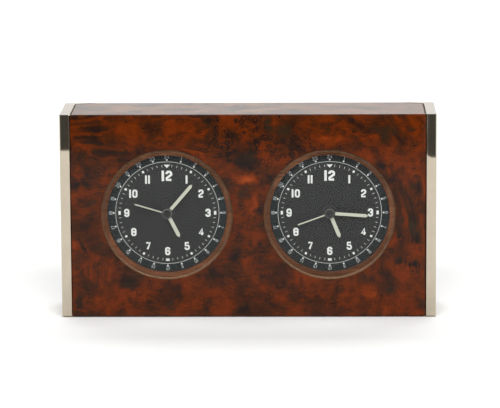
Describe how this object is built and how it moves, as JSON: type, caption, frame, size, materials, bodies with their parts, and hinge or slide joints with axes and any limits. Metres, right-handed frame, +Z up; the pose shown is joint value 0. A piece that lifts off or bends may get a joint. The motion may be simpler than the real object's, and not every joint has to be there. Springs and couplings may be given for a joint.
{
  "type": "chess clock",
  "caption": "Two-dial quartz chess clock in a lacquered wooden case with solid metal end caps, round bevelled glasses, luminous hands and a movement behind each dial.",
  "frame": {"origin": "under the middle of the case, on the surface it stands on", "axes": "+X to the viewer's right, +Y from the dials to the back, +Z up"},
  "size_m": [0.23, 0.048, 0.1263],
  "materials": {
    "walnut": "high-gloss lacquered burr walnut veneer",
    "block_wood": "plain sawn hardwood",
    "cap_metal": "polished warm white metal",
    "screw_steel": "bright zinc",
    "screw_brass": "polished brass",
    "clip_steel": "plated spring steel",
    "baize": "dark green felt",
    "glass": "clear bevelled glass",
    "dial_black": "matt black dial",
    "nut_black": "blackened brass",
    "hand_black": "satin black paint",
    "movement_plastic": "black moulded plastic",
    "frame_plastic": "white moulded plastic",
    "battery_wrap": "plain printed sleeve",
    "contact_steel": "nickel plated spring strip",
    "circuit_green": "green circuit board",
    "copper_winding": "lacquered copper wire",
    "stator_steel": "soft iron plate",
    "magnet": "dark sintered magnet",
    "gear_plastic": "natural acetal",
    "gear_brass": "turned brass",
    "knob_plastic": "black moulded plastic"
  },
  "bodies": {
    "root": {"front_panel": "walnut", "top_panel": "walnut", "bottom_panel": "walnut", "back_panel": "walnut", "left_side_block": "block_wood", "right_side_block": "block_wood", "left_end_cap": "cap_metal", "right_end_cap": "cap_metal", "end_cap_screws": "screw_steel", "back_panel_screws": "screw_brass", "dial_clips": "clip_steel", "dial_clip_screws": "screw_steel", "movement_screws": "screw_steel", "base_baize": "baize", "left_lens": "glass", "left_dial_plate": "dial_black", "left_dial_nut": "nut_black", "left_movement_base": "movement_plastic", "left_movement_cover": "movement_plastic", "left_middle_plate": "frame_plastic", "left_battery": "battery_wrap", "left_battery_contacts": "contact_steel", "left_circuit_board": "circuit_green", "left_coil": "copper_winding", "left_stator": "stator_steel", "right_lens": "glass", "right_dial_plate": "dial_black", "right_dial_nut": "nut_black", "right_movement_base": "movement_plastic", "right_movement_cover": "movement_plastic", "right_middle_plate": "frame_plastic", "right_battery": "battery_wrap", "right_battery_contacts": "contact_steel", "right_circuit_board": "circuit_green", "right_coil": "copper_winding", "right_stator": "stator_steel"},
    "left_minute_hand_body": {"left_minute_hand": "hand_black", "left_minute_pinion": "gear_brass"},
    "left_motion_work_body": {"left_motion_wheel": "gear_plastic", "left_set_knob": "knob_plastic"},
    "left_hour_hand_body": {"left_hour_hand": "hand_black", "left_hour_wheel": "gear_plastic"},
    "left_second_hand_body": {"left_second_hand": "hand_black", "left_seconds_wheel": "gear_plastic"},
    "left_third_wheel_body": {"left_third_wheel": "gear_plastic"},
    "left_centre_wheel_body": {"left_centre_wheel": "gear_brass"},
    "left_intermediate_wheel_body": {"left_intermediate_wheel": "gear_plastic"},
    "left_rotor_body": {"left_rotor": "magnet"},
    "right_minute_hand_body": {"right_minute_hand": "hand_black", "right_minute_pinion": "gear_brass"},
    "right_motion_work_body": {"right_motion_wheel": "gear_plastic", "right_set_knob": "knob_plastic"},
    "right_hour_hand_body": {"right_hour_hand": "hand_black", "right_hour_wheel": "gear_plastic"},
    "right_second_hand_body": {"right_second_hand": "hand_black", "right_seconds_wheel": "gear_plastic"},
    "right_third_wheel_body": {"right_third_wheel": "gear_plastic"},
    "right_centre_wheel_body": {"right_centre_wheel": "gear_brass"},
    "right_intermediate_wheel_body": {"right_intermediate_wheel": "gear_plastic"},
    "right_rotor_body": {"right_rotor": "magnet"}
  },
  "joints": [
    {"name": "left_minute_setting", "type": "hinge", "parent": "root", "child": "left_minute_hand_body", "pos_m": [-0.0499, 0, 0.0641], "axis": [0, 1, 0], "continuous": true},
    {"name": "left_motion_turn", "type": "hinge", "parent": "root", "child": "left_motion_work_body", "pos_m": [-0.0379, 0, 0.0641], "axis": [0, 1, 0], "continuous": true},
    {"name": "left_hour_turn", "type": "hinge", "parent": "root", "child": "left_hour_hand_body", "pos_m": [-0.0499, 0, 0.0641], "axis": [0, 1, 0], "continuous": true},
    {"name": "left_second_turn", "type": "hinge", "parent": "root", "child": "left_second_hand_body", "pos_m": [-0.0499, 0, 0.0641], "axis": [0, 1, 0], "continuous": true},
    {"name": "left_third_turn", "type": "hinge", "parent": "root", "child": "left_third_wheel_body", "pos_m": [-0.05925, 0, 0.0695], "axis": [0, 1, 0], "continuous": true},
    {"name": "left_centre_turn", "type": "hinge", "parent": "root", "child": "left_centre_wheel_body", "pos_m": [-0.0499, 0, 0.0641], "axis": [0, 1, 0], "continuous": true},
    {"name": "left_intermediate_turn", "type": "hinge", "parent": "root", "child": "left_intermediate_wheel_body", "pos_m": [-0.0544, 0, 0.07189], "axis": [0, 1, 0], "continuous": true},
    {"name": "left_rotor_turn", "type": "hinge", "parent": "root", "child": "left_rotor_body", "pos_m": [-0.0499, 0, 0.07969], "axis": [0, 1, 0], "continuous": true},
    {"name": "right_minute_setting", "type": "hinge", "parent": "root", "child": "right_minute_hand_body", "pos_m": [0.0499, 0, 0.0641], "axis": [0, 1, 0], "continuous": true},
    {"name": "right_motion_turn", "type": "hinge", "parent": "root", "child": "right_motion_work_body", "pos_m": [0.0619, 0, 0.0641], "axis": [0, 1, 0], "continuous": true},
    {"name": "right_hour_turn", "type": "hinge", "parent": "root", "child": "right_hour_hand_body", "pos_m": [0.0499, 0, 0.0641], "axis": [0, 1, 0], "continuous": true},
    {"name": "right_second_turn", "type": "hinge", "parent": "root", "child": "right_second_hand_body", "pos_m": [0.0499, 0, 0.0641], "axis": [0, 1, 0], "continuous": true},
    {"name": "right_third_turn", "type": "hinge", "parent": "root", "child": "right_third_wheel_body", "pos_m": [0.04055, 0, 0.0695], "axis": [0, 1, 0], "continuous": true},
    {"name": "right_centre_turn", "type": "hinge", "parent": "root", "child": "right_centre_wheel_body", "pos_m": [0.0499, 0, 0.0641], "axis": [0, 1, 0], "continuous": true},
    {"name": "right_intermediate_turn", "type": "hinge", "parent": "root", "child": "right_intermediate_wheel_body", "pos_m": [0.0454, 0, 0.07189], "axis": [0, 1, 0], "continuous": true},
    {"name": "right_rotor_turn", "type": "hinge", "parent": "root", "child": "right_rotor_body", "pos_m": [0.0499, 0, 0.07969], "axis": [0, 1, 0], "continuous": true}
  ],
  "couplings": [
    {"joint": "left_motion_turn", "follows": "left_minute_setting", "ratio": -0.33333},
    {"joint": "left_hour_turn", "follows": "left_minute_setting", "ratio": 0.083333},
    {"joint": "left_third_turn", "follows": "left_second_turn", "ratio": -0.13333},
    {"joint": "left_centre_turn", "follows": "left_second_turn", "ratio": 0.016667},
    {"joint": "left_intermediate_turn", "follows": "left_second_turn", "ratio": -5},
    {"joint": "left_rotor_turn", "follows": "left_second_turn", "ratio": 30},
    {"joint": "right_motion_turn", "follows": "right_minute_setting", "ratio": -0.33333},
    {"joint": "right_hour_turn", "follows": "right_minute_setting", "ratio": 0.083333},
    {"joint": "right_third_turn", "follows": "right_second_turn", "ratio": -0.13333},
    {"joint": "right_centre_turn", "follows": "right_second_turn", "ratio": 0.016667},
    {"joint": "right_intermediate_turn", "follows": "right_second_turn", "ratio": -5},
    {"joint": "right_rotor_turn", "follows": "right_second_turn", "ratio": 30}
  ]
}
